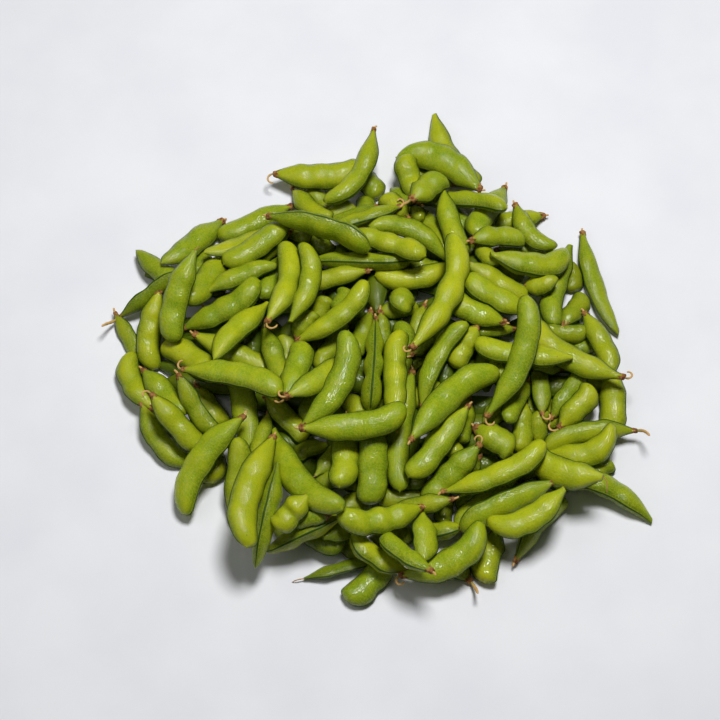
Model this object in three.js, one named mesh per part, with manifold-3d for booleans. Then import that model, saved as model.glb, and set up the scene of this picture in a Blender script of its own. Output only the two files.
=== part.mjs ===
// A heap of fresh edamame pods lying on a flat surface: the soya bean's green pods, each with two or
// three seeds, picked with a bit of stalk and piled loose in a round heap about 27 cm across.
// Millimetres, +Z up. The origin is the middle of the heap's underside.

import * as THREE from "three";
import { mergeVertices } from "three/addons/utils/BufferGeometryUtils.js";
import Module from "manifold-3d";

// Driving sizes.
const THICKNESS_SHARE = 0.74; // a pod's thickness over its width, measured across the two valves
const FLATS_OUTSET = 1.07; // widens a many-sided section, so that its flats reach the round outline
const SQUEEZE = 0.7; // how far a pod low in the heap presses into what it rests on
const CLEARANCE = 0.4; // gap under each pod at the top of the heap
const CUT_GAP = 0.3; // gap left where two groups of pods are cut clear of each other
const STEEPEST_REST = Math.tan(THREE.MathUtils.degToRad(20)); // steepest slope at which a pod lies
const TOP_LAYER = 5; // from this layer up, each pod is a piece of its own
const GROUP_SIZE = 20; // the most pods that are joined as one piece at first
const SMALL_GROUP = 10; // a smaller group joins a neighbour
const TOUCH_VOLUME = 0.1; // mm3 that two pods share before they count as touching
const LARGEST_SLIVER = 3; // mm3; a sliver that a cut leaves loose is dropped up to this size

// The pods are laid out on one level plane, as they are seen from a point in front of the heap and
// above it. Each pod then moves up or down along its own sight lines until it rests on those under it,
// so it keeps its place among the others as seen from that point.
const EYE = new THREE.Vector3(-9.3, -367.6, 794.1);
const LAYOUT_HEIGHT = 18;

// Each pod: x and y of its stalk end, x and y of its tip, its width, how far its middle bows to the
// left on the way to the tip, and its roll in degrees, where 90 turns the seam up.
// The layers go from the bottom of the heap to the top.
const LAYERS = [
  [
    [-121, 59, -78, 50, 9, 0, 0],
    [-34, -77, -50, -86, 10, 0, 0],
    [-26, -37, -42, -43, 9, 0, 0],
    [102, 66, 101, 48, 9, 0, 0],
    [-8, -97, -22, -84, 10, 0, 0],
    [-36, -107, -5, -99, 8.5, 1, -40],
    [-24, -55, 6, -59, 12, 0, 0],
    [30, -63, -1, -68, 12, 0, 0],
    [-26, -77, -4, -65, 11, 0, 0],
    [-39, -82, -17, -92, 11, 0, 0],
    [-7, -90, 16, -83, 11, 0, 0],
    [59, -70, 80, -61, 10, 0, 0],
    [-36, -63, -20, -54, 10, 0, 0],
    [-27, -86, -10, -80, 10, 0, 0],
    [7, -58, 24, -56, 9, 0, 0],
  ],
  [
    [-20, 92, -38, 113, 10, 0, 0],
    [-13, 124, 2, 106, 11.5, 0, 0],
    [-10, 86, -5, 106, 10, 0, 0],
    [-32, 88, -12, 101, 10, 0, 0],
    [20, 101, 36, 72, 10, 0, 0],
    [-92, 42, -127.5, 73, 12, 0, 0],
    [-133, 33.5, -103, 60, 9, 0, 60],
    [-122, 6, -108, -17, 8, 0, 0],
    [-87, -30, -80, -58, 13, 0, 0],
    [-18, -75, -55, -93, 13, 0, 65],
    [-36, 88, -25, 70, 9, 0, 0],
    [95, 29, 107, 46, 10, 0, 0],
    [97, -58, 115, -46, 10, 0, 0],
    [34, -62, 30, -80, 8, 0, 0],
    [52, -62, 38, -72, 10, 0, 0],
    [75, -49, 95, -60, 10, 0, 0],
    [39, 100, 52, 78, 11, 0, 0],
    [99, 14, 114, 22, 9, 0, 0],
    [-90, 74, -95, 58, 10, 0, 0],
    [-50, 87, -35, 80, 10, 0, 0],
    [101, -8, 115, 0, 9, 0, 0],
    [80, -30, 92, -14, 10, 0, 0],
    [69, -8, 79, -22, 9, 0, 0],
    [60, -48, 75, -40, 9, 0, 0],
    [52, -26, 66, -14, 10, 0, 0],
    [9, 99, 25, 93, 9, 0, 0],
    [7, 111, 17, 101, 9, 0, 0],
    [14, 69, 31, 60, 9, 0, 0],
    [-1, 36, 21, 40, 9, 0, 0],
    [57, 67, 76, 56, 10, 0, 0],
    [64, -54, 80, -47, 10, 0, 0],
  ],
  [
    [-55, 120, -8, 122, 14, -2, 12],
    [-45, 111, -26, 91, 10, -1.5, 0],
    [0, 100, -24, 90, 9, 0, 40],
    [16, 92, 3, 107, 10, 0, 0],
    [88, 94, 62, 89, 11, 0, 0],
    [31, 158, 53, 112, 12, -5, 18],
    [42, 114, 14, 122, 10, 0, 0],
    [-82, 91, -112, 64, 13, 0, 0],
    [-78, 72, -99, 41, 13, 0, 0],
    [-94, 24, -50, 1, 12, 0, 0],
    [-135, 36, -120, 6, 8.5, 0, 25],
    [-112, -18, -128, 13, 11.3, 4, 0],
    [-92, -5, -77, -29, 11, 0, 0],
    [-119, -15, -95, -50, 11.5, -2.5, 0],
    [-64, -43, -71, 5, 12.5, 0, 0],
    [-55, -20, -62, -48, 8, 0, 0],
    [-24, -74, -41, -77, 9, 0, 0],
    [-31, -54, -16, -36, 9, 0, 0],
    [-34, 28, -26, 46, 9, 0, 0],
    [-22, 36, -16, 50, 9, 0, 0],
    [-48, -2, -47, 24, 9, 0, 0],
    [108, 84, 122.5, 23, 10.5, -3, -20],
    [101, 76, 88, 28, 11, -2, 0],
    [118.5, 6, 115.5, -34, 12.5, 0, 0],
    [78, 25, 108, 24, 9, 0, 30],
    [86, -23, 104, 3, 9.5, 0, 0],
    [90, -28, 109, -6, 11.5, 0, 0],
    [45, -12, 38, -36, 12, 0, 0],
    [79, -38, 81, -18, 9, 0, 0],
    [50, -44, 40, -54, 8, 0, 0],
    [65, -98, 91, -65, 11, 2, 60],
    [7, -97, -15.5, -119, 12.6, 0, 0],
    [43, -108, 30, -92, 10, 0, 0],
    [68, -54, 53, -62, 10, 0, 0],
    [61, -6, 61, 14, 9, 0, 0],
    [13, -17, 32, -4, 10, 0, 0],
  ],
  [
    [12, 100, -24, 86, 11, 0, 40],
    [-38, 66, 18, 67, 14.5, 0, -55],
    [37, 66, -5, 89, 11, -8, 0],
    [68, 112, 49, 82, 13, 0, 0],
    [52, 77, 62, 64, 9, 0, 0],
    [62, 73, 93, 70, 10, 3, 0],
    [73, 101, 92, 73, 10.5, -4, 0],
    [55, 110.5, 10.5, 133, 16, -6.5, -15],
    [-46, 100.5, -84, 80, 12.5, 0, 0],
    [-55, 88, -91, 71, 11, 3, 0],
    [-113, 49, -115, 3, 11.3, -3, 0],
    [-119, 4, -97, -22, 12, 0, 0],
    [-114, -10, -88, -41, 11.8, 0, 0],
    [-57, -11, -35, -35, 11, 0, 0],
    [-52, -29, -18, -73, 13.5, -7, 0],
    [-72, -74, -68, -33, 10.5, 0, 0],
    [-50, -47, -60, -102, 14.5, 1, 100],
    [-50, 70, -60, 44, 11, 0, 0],
    [-46, 84, -68, 59, 9, 0, 70],
    [-5, 61, -42, 50, 10, -1, 0],
    [-27, -7, -38, -24, 10, 0, 0],
    [-42, 20, -34, 38, 10, 0, 0],
    [-58, 27, -47, -5, 10, 0, 0],
    [1, 37, 3, 15, 8, 0, 0],
    [24, 41, 17, 20, 8, 0, 0],
    [17, 2, 22, 20, 8, 0, 0],
    [70, 27, 48, 26, 8, 0, 0],
    [106, 36, 118, 0, 10.5, 2, 0],
    [128, -30, 81, -38, 11, -3, -35],
    [73, -13, 70, -42, 10, 0, 0],
    [48, -28, 67, -41, 13, 0, 0],
    [132, -78, 85, -56, 13.5, -8, 30],
    [70, -52, 36, -80, 9, 0, 0],
    [14, -103, -14, -84, 13.2, 3, 35],
    [57, -82, 48.5, -109, 12.6, 0, 0],
    [41, -81, 17, -85, 11.5, 0, 50],
  ],
  [
    [-2, 149, -27, 101, 11.5, 6.5, 15],
    [-18, 84, 26, 70, 12, 1, 0],
    [40, 66, -2, 57, 11.5, 5, 0],
    [19, 101, 70, 99.5, 11, 4, -20],
    [49, 79, 77, 80, 11.5, 2, 0],
    [59, 71, 101, 69, 15, -5.5, -15],
    [23, 102, 13, 132, 12, 0, 0],
    [18, 104, 35, 118, 13, 0, 0],
    [-44, 92, -80, 63, 12.5, 0, 0],
    [-88, 49, -52, 66, 11, 1, 0],
    [-100, 27, -60, 54, 13.5, -2, -12],
    [-78, -3, -109, 20, 13, 0, 0],
    [-101, 1, -80, -33, 9.5, -2, 30],
    [-52, -33, -66, -91, 14, -4.5, -12],
    [-35, -64, -50, -82, 12, 0, 0],
    [-38, 79, -46, 42, 8, 0, 0],
    [12, -5, 13, 32, 10, 0, 0],
    [17, 3, 9, -63, 11.5, -2.5, 0],
    [-15, 31, -32, 4, 9, 0, 0],
    [-2, -38, -15, -10, 11, 0, 0],
    [-4, 37, -13, 10, 9, 0, 0],
    [13, 50, 12, 37, 12.5, 0, 0],
    [17, 12, 28, 22, 8, 0, 0],
    [75, 51, 94, 55, 10.5, 0, 0],
    [46, 66, 77, 44, 11, 0, 0],
    [124, 0, 78, 30, 13, 6, 0],
    [82, -21, 82, 8, 9, 0, 0],
    [93, 4, 78, 8, 8, 0, 0],
    [82, -42, 119, -30, 12.8, -6.5, 0],
    [51, 29, 37, 5, 12, 0, 0],
    [43, -44, 24, -32, 10, 0, 0],
    [50, -37, 21, -71, 12.5, 0, 0],
    [36, -66, 5, -74, 9, 0, 0],
  ],
  [
    [-58, 94, -3, 75, 13.5, 3, 75],
    [-96, 73, -107, 19, 13, -2, 0],
    [-57, 42, -85, 10, 13.4, -1, 12],
    [-67, -22, -97, -74, 14.5, -6, 15],
    [-41, 20, -4, 54, 11.5, -3.5, 0],
    [9, -28, 10, 27, 11, 1, 0],
    [-1, 33, -4, -19, 13, 0, 90],
    [-47, -12, -37, 19, 12, 0, 0],
    [78, 36, 44, 56, 13.5, 0, 12],
    [65, 31, 36, 46, 12, 2, 0],
    [99, 11, 48, 18, 12.5, 2, 15],
    [76, -2, 63, -25, 9, 0, 0],
    [22, -18, 45, 32, 10.5, 5, -22],
    [45, -16, 15, -56, 12, 0, 0],
    [-16, -22, -18, -61, 13, 0, 0],
    [110, -55, 75, -42, 14, 4, -30],
    [86, -57, 38, -81, 12.5, 0, -40],
  ],
  [
    [35, 110, 44, 70, 11, -1, 15],
    [-99, 4, -47, -7, 13.8, 2.5, -12],
    [-57, 31, -47, 78, 12, -5, 0],
    [-45, 31, -37, 78, 10.5, -5, 0],
    [-46, -11, -19, 9, 11, -1.5, 15],
    [16, -35, 60, 6, 13.6, 4, 0],
    [-3, -22, -3.5, -70, 13.5, 0, 0],
    [31, -62, 84, -37, 12.5, -4, -15],
    [91, -61, 53, -82, 13.5, 4.5, 0],
    [10, -105, 52, -80, 13.5, -7, 0],
    [21, -70.5, -20.5, -78, 13.5, 2.5, 0],
  ],
  [
    [17, 16, 42, 83, 13, -7, 15],
    [-38, -28, -14, 26, 12.5, -6.5, 0],
    [21, -73, 21, -99, 11.5, 1, 0],
    [25, -103, 1, -85, 10.5, 1, 35],
  ],
  [
    [-39, -28, 15, -19, 13.4, -3.8, 0],
    [54, -22, 79, 47, 12, -6, 0],
  ],
];

// The pods hidden at the bottom lie in square tiles, four side by side, each tile turned to the next.
const TILE = 44;
const TILE_PODS = 4;
const HIDDEN_WIDTH = 11.8;
const HIDDEN_LENGTH = 42;
const HIDDEN_OVAL = { x: -4, y: 12, rx: 100, ry: 80 };
const HIDDEN_SHIFT = 0.5; // the most that a hidden pod lies out of its row
const HIDDEN_TURN = 0.12; // the most that it is turned, in radians
const HIDDEN_BOW = 2;

// A pod's outline: share of its length from the stalk end, and share of its half width there.
const OUTLINE = [
  [0, 0],
  [0.09, 0.5],
  [0.32, 0.97],
  [0.72, 1],
  [0.94, 0.74],
  [1, 0],
];
const HIDDEN_OUTLINE = [
  [0, 0],
  [0.14, 0.7],
  [0.5, 1],
  [0.88, 0.75],
  [1, 0],
];
const TOP_SIDES = 8;
const LOW_SIDES = 6;

// The settling works on a grid of sight lines.
const CELL = 1.5;
const GRID = { x: -156, y: -150, columns: 208, rows: 224 };
const SETTLE_STEPS = 4;
const STEEPEST_SLOPE = 2;
const SLOPE_ACCURACY = 1e-5;

const FLOOR_SIDE = 600;
const FLOOR_DEPTH = 40;

const wasm = await Module();
wasm.setup();

// A repeatable stand-in for chance, from 0 to 1.
function chanceFrom(seed) {
  let state = seed;
  return () => {
    state = (state * 1664525 + 1013904223) % 4294967296;
    return state / 4294967296;
  };
}

function hiddenPods() {
  const chance = chanceFrom(7);
  const spread = (most) => (2 * chance() - 1) * most;
  const pods = [];
  const reach = Math.ceil(HIDDEN_OVAL.rx / TILE);
  for (let row = reach; row >= -reach; row--) {
    for (let column = -reach; column <= reach; column++) {
      const x = HIDDEN_OVAL.x + column * TILE;
      const y = HIDDEN_OVAL.y + row * TILE;
      if (((column * TILE) / HIDDEN_OVAL.rx) ** 2 + ((row * TILE) / HIDDEN_OVAL.ry) ** 2 > 1) continue;
      const turn = (row + column) % 2 ? Math.PI / 2 : 0;
      for (let n = 0; n < TILE_PODS; n++) {
        const offset = ((TILE_PODS - 1) / 2 - n) * (TILE / TILE_PODS) + spread(HIDDEN_SHIFT);
        const angle = turn + spread(HIDDEN_TURN);
        const half = HIDDEN_LENGTH / 2 - chance();
        const middle = [x - Math.sin(turn) * offset, y + Math.cos(turn) * offset];
        const step = [Math.cos(angle) * half, Math.sin(angle) * half];
        pods.push({
          from: [middle[0] - step[0], middle[1] - step[1]],
          to: [middle[0] + step[0], middle[1] + step[1]],
          width: HIDDEN_WIDTH,
          bend: spread(HIDDEN_BOW),
          roll: 0,
          layer: -1,
        });
      }
    }
  }
  return pods;
}

function visiblePods() {
  return LAYERS.flatMap((rows, layer) =>
    rows.map(([fromX, fromY, toX, toY, width, bend, roll]) => ({
      from: [fromX, fromY],
      to: [toX, toY],
      width,
      bend,
      roll: THREE.MathUtils.degToRad(roll),
      layer,
    })),
  );
}

// The point at a height on the sight line through a point of the layout plane.
function onSightLine([x, y], height) {
  const share = (EYE.z - height) / (EYE.z - LAYOUT_HEIGHT);
  return new THREE.Vector3(EYE.x + (x - EYE.x) * share, EYE.y + (y - EYE.y) * share, height);
}

// A pod turned on its own axis, one long and of radius one, with its shared points merged.
function podBlank(outline, sides) {
  const profile = outline.map(([share, radius]) => new THREE.Vector2(radius, share));
  const lathe = new THREE.LatheGeometry(profile, sides, Math.PI / sides);
  lathe.deleteAttribute("normal");
  lathe.deleteAttribute("uv");
  return mergeVertices(lathe, 1e-4);
}
const HIDDEN_BLANK = podBlank(HIDDEN_OUTLINE, LOW_SIDES);
const LOW_BLANK = podBlank(OUTLINE, LOW_SIDES);
const TOP_BLANK = podBlank(OUTLINE, TOP_SIDES);

// A pod's geometry where it lies: the blank flattened, rolled, bowed and laid between its two ends.
function podGeometry(pod, grow = 0) {
  const start = onSightLine(pod.from, pod.fromHeight);
  const along = onSightLine(pod.to, pod.toHeight).sub(start);
  const length = along.length();
  along.divideScalar(length);
  const across = new THREE.Vector3(0, 0, 1).cross(along).normalize();
  const up = along.clone().cross(across);
  const wide = across.clone().multiplyScalar(Math.cos(pod.roll)).addScaledVector(up, Math.sin(pod.roll));
  const thick = up.clone().multiplyScalar(Math.cos(pod.roll)).addScaledVector(across, -Math.sin(pod.roll));
  const halfWidth = (pod.width / 2) * FLATS_OUTSET + grow;
  const halfThickness = (pod.width / 2) * THICKNESS_SHARE * FLATS_OUTSET + grow;
  const lowBlank = pod.layer < 0 ? HIDDEN_BLANK : LOW_BLANK;
  const geometry = (pod.layer < TOP_LAYER ? lowBlank : TOP_BLANK).clone();
  const position = geometry.getAttribute("position");
  const point = new THREE.Vector3();
  for (let i = 0; i < position.count; i++) {
    const share = position.getY(i);
    point
      .copy(start)
      .addScaledVector(along, length * share)
      .addScaledVector(across, pod.bend * 4 * share * (1 - share))
      .addScaledVector(wide, -position.getX(i) * halfWidth)
      .addScaledVector(thick, position.getZ(i) * halfThickness);
    position.setXYZ(i, point.x, point.y, point.z);
  }
  return geometry;
}

// The top and the underside of a geometry on each sight line that meets it.
function depths(geometry) {
  const position = geometry.getAttribute("position");
  const seen = [];
  for (let i = 0; i < position.count; i++) {
    const height = position.getZ(i);
    const share = (EYE.z - LAYOUT_HEIGHT) / (EYE.z - height);
    seen.push([
      (EYE.x + (position.getX(i) - EYE.x) * share - GRID.x) / CELL,
      (EYE.y + (position.getY(i) - EYE.y) * share - GRID.y) / CELL,
      height,
    ]);
  }
  const found = new Map();
  const index = geometry.index.array;
  for (let f = 0; f < index.length; f += 3) {
    const [ax, ay, az] = seen[index[f]];
    const [bx, by, bz] = seen[index[f + 1]];
    const [cx, cy, cz] = seen[index[f + 2]];
    const area = (by - cy) * (ax - cx) + (cx - bx) * (ay - cy);
    if (Math.abs(area) < 1e-9) continue;
    for (let row = Math.ceil(Math.min(ay, by, cy)); row <= Math.max(ay, by, cy); row++) {
      for (let column = Math.ceil(Math.min(ax, bx, cx)); column <= Math.max(ax, bx, cx); column++) {
        const a = ((by - cy) * (column - cx) + (cx - bx) * (row - cy)) / area;
        const b = ((cy - ay) * (column - cx) + (ax - cx) * (row - cy)) / area;
        if (a < -1e-6 || b < -1e-6 || a + b > 1 + 1e-6) continue;
        const height = a * az + b * bz + (1 - a - b) * cz;
        const cell = row * GRID.columns + column;
        const known = found.get(cell);
        if (known) {
          known.top = Math.max(known.top, height);
          known.under = Math.min(known.under, height);
        } else {
          found.set(cell, { top: height, under: height });
        }
      }
    }
  }
  return found;
}

// The line of least height at a pod's middle that no point of the ground under it stands above.
function restingLine(points) {
  let [low, high] = [-STEEPEST_SLOPE, STEEPEST_SLOPE];
  while (high - low > SLOPE_ACCURACY) {
    const slope = (low + high) / 2;
    let best = points[0];
    for (const p of points) if (p.lift - slope * p.along > best.lift - slope * best.along) best = p;
    if (best.along > 0) low = slope;
    else high = slope;
  }
  return (low + high) / 2;
}

// Lays the pods down one after the other, each on the ground and the pods under it.
function settle(pods) {
  const ground = new Float64Array(GRID.columns * GRID.rows);
  for (const pod of pods) {
    const run = [pod.to[0] - pod.from[0], pod.to[1] - pod.from[1]];
    const length = Math.hypot(...run);
    const middle = [(pod.from[0] + pod.to[0]) / 2, (pod.from[1] + pod.to[1]) / 2];
    const allowance = pod.layer >= TOP_LAYER ? CLEARANCE : -SQUEEZE;
    pod.fromHeight = pod.toHeight = LAYOUT_HEIGHT;
    for (let step = 0; step < SETTLE_STEPS; step++) {
      const points = [...depths(podGeometry(pod))].map(([cell, { under }]) => {
        const x = GRID.x + (cell % GRID.columns) * CELL - middle[0];
        const y = GRID.y + Math.floor(cell / GRID.columns) * CELL - middle[1];
        return { along: (x * run[0] + y * run[1]) / length, lift: ground[cell] + allowance - under };
      });
      let tilt = 0;
      if (step < SETTLE_STEPS - 1) {
        const slope = (pod.toHeight - pod.fromHeight) / length;
        tilt = THREE.MathUtils.clamp(slope + restingLine(points), -STEEPEST_REST, STEEPEST_REST) - slope;
      }
      const lift = points.reduce((most, p) => Math.max(most, p.lift - tilt * p.along), -Infinity);
      pod.fromHeight += lift - (tilt * length) / 2;
      pod.toHeight += lift + (tilt * length) / 2;
    }
    for (const [cell, { top }] of depths(podGeometry(pod))) ground[cell] = Math.max(ground[cell], top);
  }
}

// A closed geometry as a solid, without the flat faces that a lathe leaves at its poles.
function solidOf(geometry) {
  const index = geometry.index.array;
  const faces = [];
  for (let f = 0; f < index.length; f += 3) {
    const [a, b, c] = [index[f], index[f + 1], index[f + 2]];
    if (a !== b && b !== c && c !== a) faces.push(a, b, c);
  }
  return new wasm.Manifold(
    new wasm.Mesh({
      numProp: 3,
      vertProperties: new Float32Array(geometry.getAttribute("position").array),
      triVerts: new Uint32Array(faces),
    }),
  );
}

function geometryOf(solid) {
  const mesh = solid.getMesh();
  return new THREE.BufferGeometry()
    .setAttribute("position", new THREE.BufferAttribute(new Float32Array(mesh.vertProperties), 3))
    .setIndex(new THREE.BufferAttribute(new Uint32Array(mesh.triVerts), 1));
}

// Which pods touch: pairs of indices whose solids share some volume.
function touchingPairs(pods) {
  const pairs = [];
  pods.forEach((a, i) => {
    for (let j = i + 1; j < pods.length; j++) {
      if (!a.box.intersectsBox(pods[j].box)) continue;
      const shared = a.solid.intersect(pods[j].solid).volume();
      if (shared > 0) pairs.push({ i, j, shared });
    }
  });
  return pairs;
}

// Sorts the pods into pieces: each pod of the top layers alone, and the others in joined groups.
function piecesOf(pods, pairs) {
  const group = pods.map((_, i) => i);
  const size = pods.map(() => 1);
  const root = (i) => (group[i] === i ? i : root(group[i]));
  const join = (a, b) => {
    const [keep, drop] = a < b ? [a, b] : [b, a];
    group[drop] = keep;
    size[keep] += size[drop];
  };
  const low = pairs.filter(
    ({ i, j, shared }) => shared > TOUCH_VOLUME && pods[i].layer < TOP_LAYER && pods[j].layer < TOP_LAYER,
  );
  const between = ({ i, j }) => pods[i].centre.distanceTo(pods[j].centre);
  low.sort((a, b) => between(a) - between(b));
  for (const { i, j } of low) {
    const [a, b] = [root(i), root(j)];
    if (a !== b && size[a] + size[b] <= GROUP_SIZE) join(a, b);
  }
  for (let joined = true; joined; ) {
    joined = false;
    const neighbours = low
      .map(({ i, j }) => [root(i), root(j)])
      .filter(([a, b]) => a !== b && Math.min(size[a], size[b]) < SMALL_GROUP)
      .sort(([a, b], [c, d]) => size[a] + size[b] - size[c] - size[d] || a - c || b - d);
    if (neighbours.length) {
      join(...neighbours[0]);
      joined = true;
    }
  }
  return pods.map((_, i) => root(i));
}

const pods = [...hiddenPods(), ...visiblePods()];
settle(pods);
for (const pod of pods) {
  const geometry = podGeometry(pod);
  geometry.computeBoundingBox();
  pod.box = geometry.boundingBox;
  pod.centre = pod.box.getCenter(new THREE.Vector3());
  pod.solid = solidOf(geometry);
}
const pairs = touchingPairs(pods);
const pieceOf = piecesOf(pods, pairs);

// The surface that the heap lies on, as a block whose top is at height 0.
const block = new THREE.BoxGeometry(FLOOR_SIDE, FLOOR_SIDE, FLOOR_DEPTH).translate(0, 0, -FLOOR_DEPTH / 2);
block.deleteAttribute("normal");
block.deleteAttribute("uv");
const floorBlock = solidOf(mergeVertices(block, 1e-4));

// Joins each piece's pods, clears it from the pieces before it, and rests it flat on the surface.
const solids = new Map();
for (const piece of new Set(pieceOf)) {
  let solid = null;
  pods.forEach((pod, i) => {
    if (pieceOf[i] === piece) solid = solid ? solid.add(pod.solid) : pod.solid;
  });
  const clearOf = new Set();
  for (const { i, j } of pairs) {
    if (pieceOf[i] === piece && pieceOf[j] < piece) clearOf.add(j);
    if (pieceOf[j] === piece && pieceOf[i] < piece) clearOf.add(i);
  }
  for (const i of [...clearOf].sort((a, b) => a - b)) {
    solid = solid.subtract(solidOf(podGeometry(pods[i], CUT_GAP)));
  }
  solid = solid.subtract(floorBlock);
  const bodies = solid.decompose().sort((a, b) => b.volume() - a.volume());
  if (bodies.length > 1 && bodies[1].volume() > LARGEST_SLIVER) {
    throw new Error("piece " + piece + " is cut in two");
  }
  solids.set(piece, bodies[0]);
}

const heap = new THREE.Group();
const topSkin = new THREE.MeshStandardMaterial({ color: 0x8fa82c, roughness: 0.45, metalness: 0 });
const lowSkin = new THREE.MeshStandardMaterial({ color: 0x5f7d1a, roughness: 0.5, metalness: 0 });

const number = (n) => String(n).padStart(2, "0");
let [tops, groups] = [0, 0];
for (const [piece, solid] of solids) {
  const isTop = pods[piece].layer >= TOP_LAYER;
  const mesh = new THREE.Mesh(geometryOf(solid), isTop ? topSkin : lowSkin);
  mesh.name = isTop ? `top_pod_${number(++tops)}` : `lower_pods_${number(++groups)}`;
  heap.add(mesh);
}
const box = new THREE.Box3().setFromObject(heap);
const centre = box.getCenter(new THREE.Vector3());
for (const mesh of heap.children) mesh.position.set(-centre.x, -centre.y, 0);

export default heap;
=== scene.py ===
"""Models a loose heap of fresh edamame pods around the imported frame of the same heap.

Each pod lies where the frame has it. Places and sizes in the tables are in millimetres.
"""

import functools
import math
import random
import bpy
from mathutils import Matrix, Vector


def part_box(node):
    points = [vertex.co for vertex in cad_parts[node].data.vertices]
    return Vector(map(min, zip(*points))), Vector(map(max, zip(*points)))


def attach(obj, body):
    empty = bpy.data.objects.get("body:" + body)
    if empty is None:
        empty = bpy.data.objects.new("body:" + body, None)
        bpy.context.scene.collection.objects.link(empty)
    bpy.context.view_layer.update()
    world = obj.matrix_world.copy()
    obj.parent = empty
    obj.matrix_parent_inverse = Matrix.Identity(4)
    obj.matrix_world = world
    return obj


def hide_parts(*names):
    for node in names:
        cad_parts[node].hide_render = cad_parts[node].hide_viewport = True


bl_info = {
    "name": "Edamame Pod Heap",
    "version": (1, 0, 0),
    "blender": (4, 5, 0),
    "location": "View3D > Sidebar > Edamame",
    "description": "A loose heap of fresh soya bean pods, with their stalk ends and dried flowers",
    "category": "Add Mesh",
}

from dataclasses import dataclass

import bmesh
import bpy
import numpy as np
from mathutils import Vector
from mathutils.bvhtree import BVHTree

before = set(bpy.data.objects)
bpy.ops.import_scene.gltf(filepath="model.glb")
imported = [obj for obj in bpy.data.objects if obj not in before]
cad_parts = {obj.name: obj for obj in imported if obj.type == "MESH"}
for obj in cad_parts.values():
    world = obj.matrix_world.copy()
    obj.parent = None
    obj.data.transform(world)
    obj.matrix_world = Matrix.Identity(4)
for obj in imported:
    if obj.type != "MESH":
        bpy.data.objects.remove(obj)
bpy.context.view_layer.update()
MM = 0.001

# --- The heap's layout ---------------------------------------------------------------------------

# The pods are laid out on one level plane, as they are seen from the eye. Each then moves up or down
# along its own sight lines until it rests on those under it.
EYE = np.array([-9.3, -367.6, 794.1])
EYE_ELEVATION = math.radians(64.1)
LAYOUT_HEIGHT = 18.0

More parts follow.
